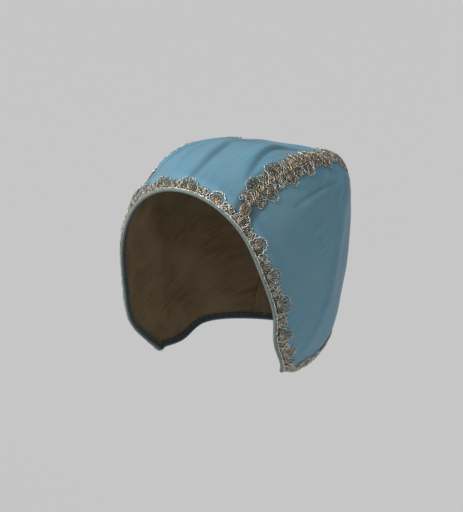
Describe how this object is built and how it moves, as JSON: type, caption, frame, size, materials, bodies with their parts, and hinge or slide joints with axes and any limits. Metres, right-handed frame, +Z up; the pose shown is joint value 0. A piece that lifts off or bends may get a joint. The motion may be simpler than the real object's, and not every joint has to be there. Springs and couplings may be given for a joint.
{
  "type": "baby's silk cap trimmed with metal lace",
  "caption": "Baby's close-fitting silk cap with a domed crown and ear flaps, lined and bound, trimmed along its edges and seams with scalloped metal bobbin lace.",
  "frame": {"origin": "inner top of the crown, on the lining's inner face in the middle plane, where the cap sits on a head", "axes": "+Z up, -Y towards the face opening, +X towards the wearer's left"},
  "size_m": [0.1367, 0.1409, 0.1463],
  "materials": {
    "silk": "ribbed plain-weave silk with a soft sheen, faded blue",
    "lining": "matt brown plain weave",
    "binding": "narrow silk tape, faded blue-green",
    "lace": "tarnished silver-gilt thread, worked as bobbin lace"
  },
  "bodies": {
    "root": {"centre_panel": "silk", "side_panel_left": "silk", "side_panel_right": "silk", "lining_centre": "lining", "lining_left": "lining", "lining_right": "lining", "front_binding": "binding", "hem_binding": "binding", "front_lace": "lace", "hem_lace": "lace", "seam_lace_left": "lace", "seam_lace_right": "lace"}
  },
  "joints": []
}
